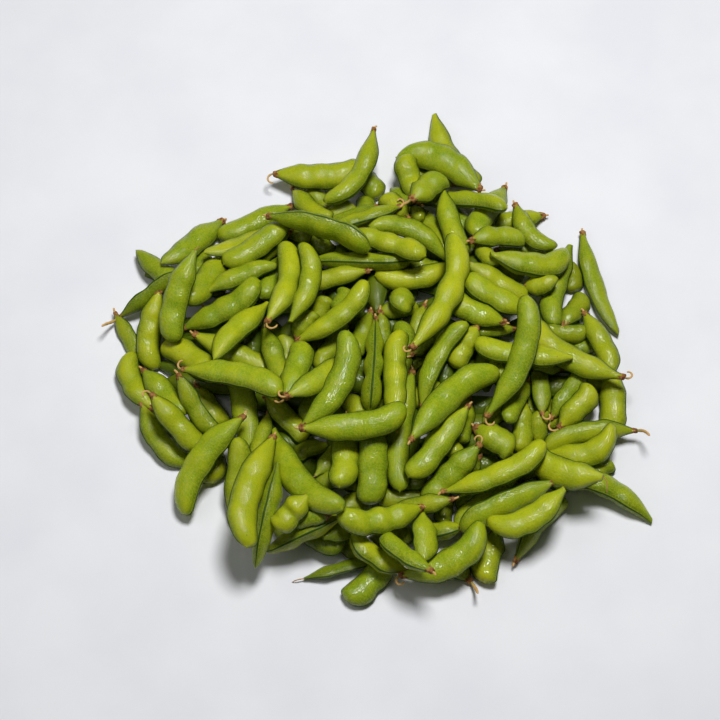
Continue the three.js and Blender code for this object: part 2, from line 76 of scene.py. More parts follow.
# Each pod: x and y of its stalk end, x and y of its tip, and its width. Then, where they differ
# from Pod's: how far its middle bows to the left on the way to the tip, its roll in degrees, where
# 90 turns the seam up, its stalk end, its form, and x and y of the place that the stalk end reaches
# to. The layers go from the bottom of the heap to the top.
LAYERS = [
    [
        (-121, 59, -78, 50, 9, 0, 0, "bare"),
        (-34, -77, -50, -86, 10, 0, 0, "bare"),
        (-26, -37, -42, -43, 9, 0, 0, "bare"),
        (102, 66, 101, 48, 9, 0, 0, "bare"),
        (-8, -97, -22, -84, 10, 0, 0, "bare"),
        (-36, -107, -5, -99, 8.5, 1, -40, "thread", "flat", -42, -108),
        (-24, -55, 6, -59, 12, 0, 0, "bare"),
        (30, -63, -1, -68, 12, 0, 0, "bare"),
        (-26, -77, -4, -65, 11, 0, 0, "bare"),
        (-39, -82, -17, -92, 11, 0, 0, "bare"),
        (-7, -90, 16, -83, 11, 0, 0, "bare"),
        (59, -70, 80, -61, 10, 0, 0, "bare"),
        (-36, -63, -20, -54, 10, 0, 0, "bare"),
        (-27, -86, -10, -80, 10, 0, 0, "bare"),
        (7, -58, 24, -56, 9, 0, 0, "bare"),
    ],
    [
        (-20, 92, -38, 113, 10),
        (-13, 124, 2, 106, 11.5),
        (-10, 86, -5, 106, 10),
        (-32, 88, -12, 101, 10),
        (20, 101, 36, 72, 10),
        (-92, 42, -127.5, 73, 12, 0, 0, "stub", "pointed"),
        (-133, 33.5, -103, 60, 9, 0, 60, "stem", "plump", -142, 29),
        (-122, 6, -108, -17, 8, 0, 0, "curl", "plump", -124, 12),
        (-87, -30, -80, -58, 13),
        (-18, -75, -55, -93, 13, 0, 65, "stub", "pointed"),
        (-36, 88, -25, 70, 9),
        (95, 29, 107, 46, 10),
        (97, -58, 115, -46, 10),
        (34, -62, 30, -80, 8),
        (52, -62, 38, -72, 10, 0, 0, "curl", "plump", 56, -60),
        (75, -49, 95, -60, 10, 0, 0, "curl", "plump", 78, -56),
        (39, 100, 52, 78, 11, 0, 0, "bare"),
        (99, 14, 114, 22, 9, 0, 0, "bare"),
        (-90, 74, -95, 58, 10, 0, 0, "bare"),
        (-50, 87, -35, 80, 10, 0, 0, "bare"),
        (101, -8, 115, 0, 9, 0, 0, "bare"),
        (80, -30, 92, -14, 10, 0, 0, "bare"),
        (69, -8, 79, -22, 9, 0, 0, "bare"),
        (60, -48, 75, -40, 9, 0, 0, "bare"),
        (52, -26, 66, -14, 10, 0, 0, "bare"),
        (9, 99, 25, 93, 9, 0, 0, "bare"),
        (7, 111, 17, 101, 9, 0, 0, "bare"),
        (14, 69, 31, 60, 9, 0, 0, "bare"),
        (-1, 36, 21, 40, 9, 0, 0, "bare"),
        (57, 67, 76, 56, 10, 0, 0, "bare"),
        (64, -54, 80, -47, 10, 0, 0, "bare"),
    ],
    [
        (-55, 120, -8, 122, 14, -2, 12, "curl", "plump", -60, 117),
        (-45, 111, -26, 91, 10, -1.5),
        (0, 100, -24, 90, 9, 0, 40),
        (16, 92, 3, 107, 10),
        (88, 94, 62, 89, 11),
        (31, 158, 53, 112, 12, -5, 18, "bare"),
        (42, 114, 14, 122, 10),
        (-82, 91, -112, 64, 13, 0, 0, "stub", "pointed"),
        (-78, 72, -99, 41, 13),
        (-94, 24, -50, 1, 12),
        (-135, 36, -120, 6, 8.5, 0, 25, "stub", "flat"),
        (-112, -18, -128, 13, 11.3, 4),
        (-92, -5, -77, -29, 11),
        (-119, -15, -95, -50, 11.5, -2.5),
        (-64, -43, -71, 5, 12.5),
        (-55, -20, -62, -48, 8),
        (-24, -74, -41, -77, 9),
        (-31, -54, -16, -36, 9, 0, 0, "thread", "flat", -35, -55),
        (-34, 28, -26, 46, 9),
        (-22, 36, -16, 50, 9),
        (-48, -2, -47, 24, 9),
        (108, 84, 122.5, 23, 10.5, -3, -20, "stub", "pointed"),
        (101, 76, 88, 28, 11, -2, 0, "bare"),
        (118.5, 6, 115.5, -34, 12.5),
        (78, 25, 108, 24, 9, 0, 30),
        (86, -23, 104, 3, 9.5),
        (90, -28, 109, -6, 11.5, 0, 0, "curl", "plump", 86, -31),
        (45, -12, 38, -36, 12),
        (79, -38, 81, -18, 9),
        (50, -44, 40, -54, 8),
        (65, -98, 91, -65, 11, 2, 60),
        (7, -97, -15.5, -119, 12.6),
        (43, -108, 30, -92, 10, 0, 0, "stem", "plump", 47, -114),
        (68, -54, 53, -62, 10),
        (61, -6, 61, 14, 9, 0, 0, "bare"),
        (13, -17, 32, -4, 10, 0, 0, "bare"),
    ],
    [
        (12, 100, -24, 86, 11, 0, 40, "curl", "plump", 14, 106),
        (-38, 66, 18, 67, 14.5, 0, -55),
        (37, 66, -5, 89, 11, -8),
        (68, 112, 49, 82, 13),
        (52, 77, 62, 64, 9),
        (62, 73, 93, 70, 10, 3),
        (73, 101, 92, 73, 10.5, -4),
        (55, 110.5, 10.5, 133, 16, -6.5, -15),
        (-46, 100.5, -84, 80, 12.5),
        (-55, 88, -91, 71, 11, 3, 0, "stub", "flat"),
        (-113, 49, -115, 3, 11.3, -3, 0, "curl", "plump", -118, 54),
        (-119, 4, -97, -22, 12),
        (-114, -10, -88, -41, 11.8, 0, 0, "curl", "plump", -120, -6),
        (-57, -11, -35, -35, 11),
        (-52, -29, -18, -73, 13.5, -7, 0, "bare"),
        (-72, -74, -68, -33, 10.5),
        (-50, -47, -60, -102, 14.5, 1, 100, "bare", "pointed"),
        (-50, 70, -60, 44, 11),
        (-46, 84, -68, 59, 9, 0, 70),
        (-5, 61, -42, 50, 10, -1),
        (-27, -7, -38, -24, 10),
        (-42, 20, -34, 38, 10, 0, 0, "curl", "plump", -46, 22),
        (-58, 27, -47, -5, 10, 0, 0, "thread", "plump", -58, 33),
        (1, 37, 3, 15, 8),
        (24, 41, 17, 20, 8),
        (17, 2, 22, 20, 8),
        (70, 27, 48, 26, 8),
        (106, 36, 118, 0, 10.5, 2),
        (128, -30, 81, -38, 11, -3, -35, "stem", "plump", 135, -32),
        (73, -13, 70, -42, 10),
        (48, -28, 67, -41, 13),
        (132, -78, 85, -56, 13.5, -8, 30, "bare"),
        (70, -52, 36, -80, 9),
        (14, -103, -14, -84, 13.2, 3, 35),
        (57, -82, 48.5, -109, 12.6),
        (41, -81, 17, -85, 11.5, 0, 50),
    ],
    [
        (-2, 149, -27, 101, 11.5, 6.5, 15, "stub", "waisted"),
        (-18, 84, 26, 70, 12, 1, 0, "curl", "waisted", -22, 88),
        (40, 66, -2, 57, 11.5, 5),
        (19, 101, 70, 99.5, 11, 4, -20),
        (49, 79, 77, 80, 11.5, 2),
        (59, 71, 101, 69, 15, -5.5, -15, "bare"),
        (23, 102, 13, 132, 12),
        (18, 104, 35, 118, 13, 0, 0, "stem", "plump", 12, 100),
        (-44, 92, -80, 63, 12.5),
        (-88, 49, -52, 66, 11, 1, 0, "bare", "pointed"),
        (-100, 27, -60, 54, 13.5, -2, -12),
        (-78, -3, -109, 20, 13),
        (-101, 1, -80, -33, 9.5, -2, 30),
        (-52, -33, -66, -91, 14, -4.5, -12),
        (-35, -64, -50, -82, 12, 0, 0, "bare", "waisted"),
        (-38, 79, -46, 42, 8, 0, 0, "stem", "plump", -27, 84),
        (12, -5, 13, 32, 10),
        (17, 3, 9, -63, 11.5, -2.5),
        (-15, 31, -32, 4, 9),
        (-2, -38, -15, -10, 11),
        (-4, 37, -13, 10, 9),
        (13, 50, 12, 37, 12.5, 0, 0, "bare"),
        (17, 12, 28, 22, 8),
        (75, 51, 94, 55, 10.5, 0, 0, "stub", "pointed"),
        (46, 66, 77, 44, 11),
        (124, 0, 78, 30, 13, 6, 0, "curl", "plump", 128, -3),
        (82, -21, 82, 8, 9, 0, 0, "curl", "flat", 82, -26),
        (93, 4, 78, 8, 8),
        (82, -42, 119, -30, 12.8, -6.5, 0, "curl", "plump", 76, -42),
        (51, 29, 37, 5, 12),
        (43, -44, 24, -32, 10),
        (50, -37, 21, -71, 12.5, 0, 0, "curl", "plump", 55, -32),
        (36, -66, 5, -74, 9),
    ],
    [
        (-58, 94, -3, 75, 13.5, 3, 75),
        (-96, 73, -107, 19, 13, -2, 0, "thread", "plump", -93, 76),
        (-57, 42, -85, 10, 13.4, -1, 12, "bare", "pointed"),
        (-67, -22, -97, -74, 14.5, -6, 15),
        (-41, 20, -4, 54, 11.5, -3.5),
        (9, -28, 10, 27, 11, 1),
        (-1, 33, -4, -19, 13, 0, 90, "stub", "waisted"),
        (-47, -12, -37, 19, 12, 0, 0, "curl", "plump", -52, -14),
        (78, 36, 44, 56, 13.5, 0, 12),
        (65, 31, 36, 46, 12, 2),
        (99, 11, 48, 18, 12.5, 2, 15, "bare"),
        (76, -2, 63, -25, 9),
        (22, -18, 45, 32, 10.5, 5, -22),
        (45, -16, 15, -56, 12),
        (-16, -22, -18, -61, 13),
        (110, -55, 75, -42, 14, 4, -30, "thread", "plump", 112, -62),
        (86, -57, 38, -81, 12.5, 0, -40),
    ],
    [
        (35, 110, 44, 70, 11, -1, 15, "bare"),
        (-99, 4, -47, -7, 13.8, 2.5, -12, "curl", "plump", -104, 6),
        (-57, 31, -47, 78, 12, -5, 0, "curl", "waisted", -51, 26),
        (-45, 31, -37, 78, 10.5, -5, 0, "bare"),
        (-46, -11, -19, 9, 11, -1.5, 15, "curl", "flat", -50, -14),
        (16, -35, 60, 6, 13.6, 4),
        (-3, -22, -3.5, -70, 13.5),
        (31, -62, 84, -37, 12.5, -4, -15),
        (91, -61, 53, -82, 13.5, 4.5, 0, "bare"),
        (10, -105, 52, -80, 13.5, -7, 0, "curl", "plump", 8, -108),
        (21, -70.5, -20.5, -78, 13.5, 2.5, 0, "stub", "waisted"),
    ],
    [
        (17, 16, 42, 83, 13, -7, 15, "curl", "waisted", 12, 14),
        (-38, -28, -14, 26, 12.5, -6.5),
        (21, -73, 21, -99, 11.5, 1, 0, "thread", "flat", 22, -66),
        (25, -103, 1, -85, 10.5, 1, 35),
    ],
    [
        (-39, -28, 15, -19, 13.4, -3.8),
        (54, -22, 79, 47, 12, -6, 0, "curl", "plump", 56, -28),
    ],
]
TOP_LAYER = 5

# A pod holds as many seeds as it has room for: two or three past these lengths on the layout plane.
# A few hold one more or one fewer, and are named by where their stalk ends lie.
TWO_SEED_LENGTH, THREE_SEED_LENGTH = 26.0, 44.0
SEEDS_SET_BY_HAND = {
    (43, -108): 2,
    (-2, 149): 2,
    (59, 71): 3,
    (18, 104): 2,
    (-35, -64): 2,
    (-16, -22): 3,
    (110, -55): 3,
    (-57, 31): 2,
    (91, -61): 3,
    (21, -70.5): 3,
    (21, -73): 2,
}

# The pods hidden at the bottom lie in square tiles, four side by side, each tile turned to the next.
# The last three sizes are the most that chance shifts, turns and bows a pod.
TILE = 44.0
TILE_PODS = 4
HIDDEN_WIDTH = 11.8
HIDDEN_LENGTH = 42.0
HIDDEN_OVAL = {"x": -4.0, "y": 12.0, "rx": 100.0, "ry": 80.0}
HIDDEN_SHIFT = 0.5
HIDDEN_TURN = 0.12
HIDDEN_BOW = 2.0
HIDDEN_SEED = 7

# The plain many-sided pods that settle: shares of the length and of the half width at each.
OUTLINE = [(0, 0), (0.09, 0.5), (0.32, 0.97), (0.72, 1), (0.94, 0.74), (1, 0)]
HIDDEN_OUTLINE = [(0, 0), (0.14, 0.7), (0.5, 1), (0.88, 0.75), (1, 0)]
TOP_SIDES = 8
LOW_SIDES = 6
THICKNESS_SHARE = 0.74
FLATS_OUTSET = 1.07  # the corners lie this much further out, to make up for the flats
SQUEEZE = 0.7  # how far the lower pods press into each other
CLEARANCE = 0.4  # what an upper pod keeps to the pods under it
STEEPEST_REST = math.tan(math.radians(20))

# The settling works on a grid of sight lines.
CELL = 1.5
GRID_X, GRID_Y = -156.0, -150.0
GRID_COLUMNS, GRID_ROWS = 208, 224
SETTLE_STEPS = 4
STEEPEST_SLOPE = 2.0
SLOPE_ACCURACY = 1e-5
EDGE_ON_AREA = 1e-9  # a face that covers less than this is seen edge on, and left out
EDGE_ALLOWANCE = 1e-6  # how far past a face's edge, as a share, a sight line still meets it

MOST_STRAY = 0.5  # how far a settled pod may be from the frame's own
RAY_STEP = 1e-6  # how far past a surface a ray goes on, in metres
NODE_TESTS = np.linspace(0.2, 0.8, 7)  # shares of a pod's length where its node is looked for


@dataclass
class Pod:
    """One pod: where it lies on the layout plane, the shape it grew in, and what is on its stalk end."""

    layer: int
    from_x: float
    from_y: float
    to_x: float
    to_y: float
    width: float
    bow: float = 0.0
    roll: float = 0.0
    stalk: str = "stub"
    form: str = "plump"
    reach_x: float = None
    reach_y: float = None
    from_height: float = LAYOUT_HEIGHT
    to_height: float = LAYOUT_HEIGHT
    node: str = ""
    number: int = 0

    @property
    def seeds(self):
        """How many seeds it holds."""
        length = math.hypot(self.to_x - self.from_x, self.to_y - self.from_y)
        has_room_for = 1 + (length > TWO_SEED_LENGTH) + (length > THREE_SEED_LENGTH)
        return SEEDS_SET_BY_HAND.get((self.from_x, self.from_y), has_room_for)


def chance_from(seed):
    """Draws repeatable shares from 0 to 1, with a linear congruential generator."""
    state = seed
    while True:
        state = (state * 1664525 + 1013904223) % 4294967296
        yield state / 4294967296


def hidden_pods():
    """The pods at the bottom, out of sight."""
    draws = chance_from(HIDDEN_SEED)
    pods = []

    def spread(most):
        return (2 * next(draws) - 1) * most

    reach = math.ceil(HIDDEN_OVAL["rx"] / TILE)
    for row in range(reach, -reach - 1, -1):
        for column in range(-reach, reach + 1):
            x = HIDDEN_OVAL["x"] + column * TILE
            y = HIDDEN_OVAL["y"] + row * TILE
            if (column * TILE / HIDDEN_OVAL["rx"]) ** 2 + (row * TILE / HIDDEN_OVAL["ry"]) ** 2 > 1:
                continue
            turn = math.pi / 2 if (row + column) % 2 else 0.0
            for n in range(TILE_PODS):
                offset = ((TILE_PODS - 1) / 2 - n) * (TILE / TILE_PODS) + spread(HIDDEN_SHIFT)
                angle = turn + spread(HIDDEN_TURN)
                half = HIDDEN_LENGTH / 2 - next(draws)
                middle_x = x - math.sin(turn) * offset
                middle_y = y + math.cos(turn) * offset
                step_x, step_y = math.cos(angle) * half, math.sin(angle) * half
                ends = (middle_x - step_x, middle_y - step_y, middle_x + step_x, middle_y + step_y)
                bow = spread(HIDDEN_BOW)
                pods.append(Pod(-1, *ends, HIDDEN_WIDTH, bow=bow, stalk="bare", form="buried"))
    return pods


def visible_pods():
    """The pods of the table, which show at least in part."""
    return [Pod(layer, *row) for layer, rows in enumerate(LAYERS) for row in rows]


def on_sight_line(x, y, height):
    """The point at a height on the sight line through a point of the layout plane."""
    share = (EYE[2] - height) / (EYE[2] - LAYOUT_HEIGHT)
    return np.array([EYE[0] + (x - EYE[0]) * share, EYE[1] + (y - EYE[1]) * share, height])


def pod_axes(pod):
    """A pod's stalk end, its length, and its directions along, across and up."""
    start = on_sight_line(pod.from_x, pod.from_y, pod.from_height)
    along = on_sight_line(pod.to_x, pod.to_y, pod.to_height) - start
    length = np.linalg.norm(along)
    along = along / length
    across = np.cross((0, 0, 1), along)
    across = across / np.linalg.norm(across)
    return start, length, along, across, np.cross(along, across)


@functools.cache
def plain_blank(is_hidden, sides):
    """A plain pod turned on its own axis, one long and of radius one: x, share, z and its faces."""
    outline = np.array(HIDDEN_OUTLINE if is_hidden else OUTLINE)
    turns = math.pi / sides + np.arange(sides) * 2 * math.pi / sides
    x = np.float32(np.outer(np.sin(turns), outline[:, 1])).ravel()
    z = np.float32(np.outer(np.cos(turns), outline[:, 1])).ravel()
    share = np.float32(np.tile(outline[:, 0], sides))
    stations = len(outline)
    faces = []
    for side in range(sides):
        following = (side + 1) % sides
        for station in range(stations - 1):
            a, b = side * stations + station, following * stations + station
            faces += [(a, b, a + 1), (b + 1, a + 1, b)]
    return x.astype(float), share.astype(float), z.astype(float), np.array(faces)


def plain_pod(pod):
    """The points and faces of a plain pod where it lies."""
    x, share, z, faces = plain_blank(pod.layer < 0, TOP_SIDES if pod.layer >= TOP_LAYER else LOW_SIDES)
    start, length, along, across, up = pod_axes(pod)
    roll = math.radians(pod.roll)
    wide = across * math.cos(roll) + up * math.sin(roll)
    thick = up * math.cos(roll) - across * math.sin(roll)
    half = pod.width / 2 * FLATS_OUTSET
    bow = pod.bow * 4 * share * (1 - share)
    points = start + np.outer(share * length, along) + np.outer(bow, across)
    points += np.outer(-x * half, wide) + np.outer(z * half * THICKNESS_SHARE, thick)
    return np.float32(points).astype(float), faces


def depths(points, faces):
    """The rows, columns, tops and undersides of a solid on the sight lines that meet it."""
    share = (EYE[2] - LAYOUT_HEIGHT) / (EYE[2] - points[:, 2])
    columns = (EYE[0] + (points[:, 0] - EYE[0]) * share - GRID_X) / CELL
    rows = (EYE[1] + (points[:, 1] - EYE[1]) * share - GRID_Y) / CELL
    (ax, bx, cx), (ay, by, cy), (az, bz, cz) = (
        values[faces].T[:, :, None, None] for values in (columns, rows, points[:, 2])
    )
    area = (by - cy) * (ax - cx) + (cx - bx) * (ay - cy)
    area[np.abs(area) < EDGE_ON_AREA] = np.nan
    row = np.arange(math.ceil(rows.min()), math.floor(rows.max()) + 1)[None, :, None]
    column = np.arange(math.ceil(columns.min()), math.floor(columns.max()) + 1)[None, None, :]
    a = ((by - cy) * (column - cx) + (cx - bx) * (row - cy)) / area
    b = ((cy - ay) * (column - cx) + (ax - cx) * (row - cy)) / area
    inside = (a >= -EDGE_ALLOWANCE) & (b >= -EDGE_ALLOWANCE) & (a + b <= 1 + EDGE_ALLOWANCE)
    height = a * az + b * bz + (1 - a - b) * cz
    top = np.where(inside, height, -np.inf).max(0)
    under = np.where(inside, height, np.inf).min(0)
    met_row, met_column = np.nonzero(inside.any(0))
    met = (met_row, met_column)
    return row.ravel()[met_row], column.ravel()[met_column], top[met], under[met]


def resting_slope(along, lift):
    """The slope of the line of least height at the middle that no point stands above."""
    low, high = -STEEPEST_SLOPE, STEEPEST_SLOPE
    while high - low > SLOPE_ACCURACY:
        slope = (low + high) / 2
        if along[np.argmax(lift - slope * along)] > 0:
            low = slope
        else:
            high = slope
    return (low + high) / 2


def settle(pods):
    """Lays the pods down one after the other, each on the ground and the pods under it."""
    ground = np.zeros((GRID_ROWS, GRID_COLUMNS))
    for pod in pods:
        run = np.array([pod.to_x - pod.from_x, pod.to_y - pod.from_y])
        length = math.hypot(*run)
        middle = (pod.from_x + pod.to_x) / 2, (pod.from_y + pod.to_y) / 2
        allowance = CLEARANCE if pod.layer >= TOP_LAYER else -SQUEEZE
        for step in range(SETTLE_STEPS):
            row, column, _, under = depths(*plain_pod(pod))
            x = GRID_X + column * CELL - middle[0]
            y = GRID_Y + row * CELL - middle[1]
            along = (x * run[0] + y * run[1]) / length
            lift = ground[row, column] + allowance - under
            tilt = 0.0
            if step < SETTLE_STEPS - 1:
                slope = (pod.to_height - pod.from_height) / length
                wanted = slope + resting_slope(along, lift)
                tilt = min(max(wanted, -STEEPEST_REST), STEEPEST_REST) - slope
            rise = (lift - tilt * along).max()
            pod.from_height += rise - tilt * length / 2
            pod.to_height += rise + tilt * length / 2
        row, column, top, _ = depths(*plain_pod(pod))
        ground[row, column] = np.maximum(ground[row, column], top)


def node_trees():
    """A search tree of each of the frame's solids of lower pods."""
    trees = {}
    for name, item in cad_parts.items():
        if name.startswith("lower_pods_"):
            faces = [tuple(face.vertices) for face in item.data.polygons]
            trees[name] = BVHTree.FromPolygons([vertex.co for vertex in item.data.vertices], faces)
    return trees


def holds(tree, point):
    """Whether a point is inside a closed solid: a ray upwards crosses it an odd number of times."""
    upwards = Vector((0, 0, 1))
    crossings = 0
    hit = tree.ray_cast(point, upwards)[0]
    while hit is not None:
        crossings += 1
        hit = tree.ray_cast(hit + upwards * RAY_STEP, upwards)[0]
    return crossings % 2 == 1


def find_node(pod, shift, trees):
    """The frame's solid that a lower pod is part of: the one that holds most of its middle line."""
    start, length, along, across, _ = pod_axes(pod)
    held = dict.fromkeys(trees, 0)
    nearest = {name: math.inf for name in trees}
    for share in NODE_TESTS:
        point = start + along * length * share + across * pod.bow * 4 * share * (1 - share) - shift
        point = Vector(point) * MM
        for name, tree in trees.items():
            distance = tree.find_nearest(point)[3]
            nearest[name] = min(nearest[name], distance)
            if distance < pod.width * MM and holds(tree, point):
                held[name] += 1
    return max(trees, key=lambda name: (held[name], -nearest[name]))


@functools.cache
def settled_heap():
    """All pods where they lie, each with its node, and the shift from the layout to the frame."""
    pods = hidden_pods() + visible_pods()
    settle(pods)
    upper = [pod for pod in pods if pod.layer >= TOP_LAYER]
    strays = []
    for number, pod in enumerate(upper, 1):
        pod.node = f"top_pod_{number:02}"
        points = plain_pod(pod)[0]
        low, high = (np.array(corner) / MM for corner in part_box(pod.node))
        strays.append((points.min(0) + points.max(0) - low - high) / 2)
    shift = np.median(strays, axis=0) * (1, 1, 0)
    if len(upper) != sum(name.startswith("top_pod_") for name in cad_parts):
        raise RuntimeError("the frame has another number of upper pods")
    if np.median(np.abs(strays - shift).max(1)) > MOST_STRAY:
        raise RuntimeError("the pods don't lie where the frame has them")
    trees = node_trees()
    for number, pod in enumerate(pods):
        pod.number = number
        if not pod.node:
            pod.node = find_node(pod, shift, trees)
    return pods, shift


# --- A pod's shape -------------------------------------------------------------------------------

HIDDEN_DETAIL = 0.5  # share of the points that a pod at the bottom has
FULLNESS = 1.05  # half width over the plain pod's
# Painted shade: the pods of the lowest layers are drawn darker, for the shade under the pods above.
PAINTED_SHADE_BY_LAYER = {-1: 1.0, 0: 0.5, 1: 0.2}  # how much darker the pods of the lowest layers are
KNOWN_ROLL_SHARE = 0.3  # how much of a pod's own roll is left where the table gives one
STOUT_LENGTH = 1.9  # length over width, below which a pod turns to a plain ball
STOUT_FADE = 0.6
WANDER = 0.22  # how far a pod's middle line leaves its plain bow
POD_PATTERN_STEP = 97.0  # moves the patterns on from one pod to the next
GROWTH_SEED, STALK_SEED, CALYX_SEED = 1000, 5000, 9000  # each added to the number of a pod

SEED_PLACES = {1: (0.52,), 2: (0.35, 0.69), 3: (0.27, 0.52, 0.77)}  # shares of the pod's length
SEED_REACH = {1: 0.20, 2: 0.15, 3: 0.11}
# Each form: thickness over width, how much the width and the thickness fall between two seeds,
# where along the pod its free end starts to draw in, and how sharp that end is.
FORMS = {
    "plump": (0.72, 0.10, 0.26, 0.74, 0.5),
    "waisted": (0.80, 0.27, 0.42, 0.74, 0.5),
    "pointed": (0.74, 0.12, 0.28, 0.48, 0.75),
    "flat": (0.52, 0.06, 0.14, 0.55, 0.65),
    "buried": (0.90, 0.0, 0.05, 0.74, 0.5),
}
# Along a pod, as shares of its length, and across, as shares of its half width.
FULL_FROM = 0.38
BODY_END = 0.985
NECK_LENGTH, NECK_WIDTH, NECK_CLOSING = 0.3, 0.13, 0.003
BEAK_LENGTH, BEAK_WIDTH = 0.06, 0.2
SEAM_CROWDING = 0.55  # draws the points of a section towards its two seams
LENS_POWER = 1.12  # above one, the two valves meet at an edge
LONG_LUMP, SHORT_LUMP = 0.022, 0.018  # how far the skin's lumps swell it, as shares
SEAM_FADE = (0.05, 0.03)  # shares of the length where a seam fades out at the neck and the tip
KEEL_REACH = 0.11  # how far a seam's ridge reaches round the pod, in radians
GROOVE_REACH = (0.15, 0.34)  # where the groove beside it begins and ends, in radians
GROOVE_DEPTH = 0.55  # beside a seam, as a share of the seam's ridge
BEND_FROM = 0.72  # share of the length where the free end bends towards a seam


@dataclass
class Growth:
    """How one pod differs from the next."""

    thickness: float
    waist: float
    dip: float
    twist: float
    lean: float
    roll: float
    shoulder: float
    beak: float
    taper: float
    sharpness: float
    tone: float
    waves: tuple


@functools.cache
def growth(number, form, bow):
    """Draws how a pod grew, from its number, its form and its bow."""
    draw = random.Random(GROWTH_SEED + number)
    thickness, waist, dip, taper, sharpness = FORMS[form]
    side = -math.copysign(1, bow) if abs(bow) > 0.5 else draw.choice((-1, 1))
    return Growth(
        thickness=thickness * draw.uniform(0.94, 1.06),
        waist=waist * draw.uniform(0.7, 1.4),
        dip=dip * draw.uniform(0.6, 1.4),
        twist=math.radians(draw.uniform(-14, 14)),
        lean=side * draw.uniform(0.22, 0.42),
        roll=math.radians(draw.uniform(-15, 15)),
        shoulder=draw.uniform(0.8, 1.2) * (2 * sharpness) ** 0.6,
        beak=draw.uniform(0.6, 1.4),
        taper=taper,
        sharpness=sharpness,
        tone=draw.random(),
        waves=tuple(draw.uniform(0, 2 * math.pi) for _ in range(4)),
    )


def ease(value):
    """A smooth step from 0 to 1."""
    value = np.clip(value, 0, 1)
    return value * value * (3 - 2 * value)


def seed_swell(seeds, share):
    """From 0 between two seeds to 1 over a seed, and outside the first and the last."""
    places = SEED_PLACES[seeds]
    swell = np.where((share < places[0]) | (share > places[-1]), 1.0, 0.0)
    for place in places:
        swell = np.maximum(swell, np.exp(-(((share - place) / SEED_REACH[seeds]) ** 2)))
    return swell


def half_width_share(share, stoutness, grown):
    """A pod's half width over its greatest: a narrow neck, a full body, its free end and a beak."""
    body = np.sin(math.pi / 2 * np.clip(share / FULL_FROM, 0, 1)) ** grown.shoulder
    drawn_in = np.clip((share - grown.taper) / (BODY_END - grown.taper), 0, 1)
    body = body * (1 - drawn_in ** (5.2 - 4 * grown.sharpness)) ** grown.sharpness
    body += stoutness * (2 * np.sqrt(share * (1 - share)) - body)
    closing = np.sqrt(np.clip(share / NECK_CLOSING, 0, 1))
    neck = NECK_WIDTH * np.clip(1 - share / NECK_LENGTH, 0, 1) * closing
    point = BEAK_WIDTH * grown.beak * np.clip((1 - share) / BEAK_LENGTH, 0, 1)
    return np.sqrt(body**2 + neck**2 + point**2)


def seam_closeness(angle, reach):
    """One on either seam, falling to nothing within the reach, in radians."""
    turn = np.abs((angle + math.pi) % (2 * math.pi) - math.pi)
    off = np.minimum(turn, math.pi - turn)
    return np.exp(-((off / reach) ** 2))


def middle_line(pod, share):
    """Points on the middle line of a pod, which bows, sags and wanders a little."""
    start, length, along, across, up = pod_axes(pod)
    waves = growth(pod.number, pod.form, pod.bow).waves
    sideways = pod.bow * 4 * share * (1 - share) + WANDER * np.sin(7 * share + waves[2])
    upwards = WANDER * np.sin(9 * share + waves[3])
    return start + np.outer(share * length, along) + np.outer(sideways, across) + np.outer(upwards, up)


def skin_points(pod, share, angle, lift=0.0, ridge=0.0):
    """Points on a pod's skin at shares of its length and angles round it, lifted off it."""
    across, up = pod_axes(pod)[3:]
    grown = growth(pod.number, pod.form, pod.bow)
    gap = 1 - seed_swell(pod.seeds, share)
    stoutness = ease((STOUT_LENGTH - pod_axes(pod)[1] / pod.width) / STOUT_FADE)
    half = FULLNESS * pod.width / 2 * half_width_share(share, stoutness, grown)
    wide_half = half * (1 - grown.waist * gap)
    thick_half = half * grown.thickness * (1 - grown.dip * gap)
    lumps = 1 + LONG_LUMP * np.sin(19 * share + 2 * angle + grown.waves[0])
    lumps += SHORT_LUMP * np.sin(31 * share - 3 * angle + grown.waves[1])
    body = ease(share / SEAM_FADE[0]) * ease((1 - share) / SEAM_FADE[1])
    keel = ridge * seam_closeness(angle, KEEL_REACH) * body
    beside = seam_closeness(angle, GROOVE_REACH[1]) * (1 - seam_closeness(angle, GROOVE_REACH[0]))
    groove = GROOVE_DEPTH * ridge * beside * body
    bend = ease((share - BEND_FROM) / (1 - BEND_FROM)) - 0.35 * share
    lean = grown.lean * pod.width / 2 * bend
    sine = np.sin(angle)
    x = np.cos(angle) * (wide_half * lumps + keel - groove + lift) + lean
    z = np.sign(sine) * np.abs(sine) ** LENS_POWER * thick_half * lumps + sine * lift
    own_roll = grown.roll * (KNOWN_ROLL_SHARE if pod.roll else 1)
    roll = math.radians(pod.roll) + own_roll + grown.twist * (share - 0.5)
    sideways = x * np.cos(roll) - z * np.sin(roll)
    upwards = x * np.sin(roll) + z * np.cos(roll)
    return middle_line(pod, share) + sideways[:, None] * across + upwards[:, None] * up


@functools.cache
def ball_mesh(around, rings):
    """A closed ball of radius one, which pods and stalks are shaped from."""
    shape = bmesh.new()
    bmesh.ops.create_uvsphere(shape, u_segments=around, v_segments=rings, radius=1)
    mesh = bpy.data.meshes.new(f"ball_{around}_{rings}")
    shape.to_mesh(mesh)
    shape.free()
    return mesh


def add_ball(shape, around, rings, is_even=False):
    """Adds a ball, and gives its points, their shares from its lower pole up, and their angles."""
    already = len(shape.verts)
    shape.from_mesh(ball_mesh(around, rings))
    shape.verts.ensure_lookup_table()
    vertices = shape.verts[already:]
    places = np.array([vertex.co for vertex in vertices])
    height = np.clip(places[:, 2], -1, 1)
    share = np.arccos(-height) / math.pi if is_even else (1 + height) / 2
    return vertices, share, np.arctan2(places[:, 1], places[:, 0])


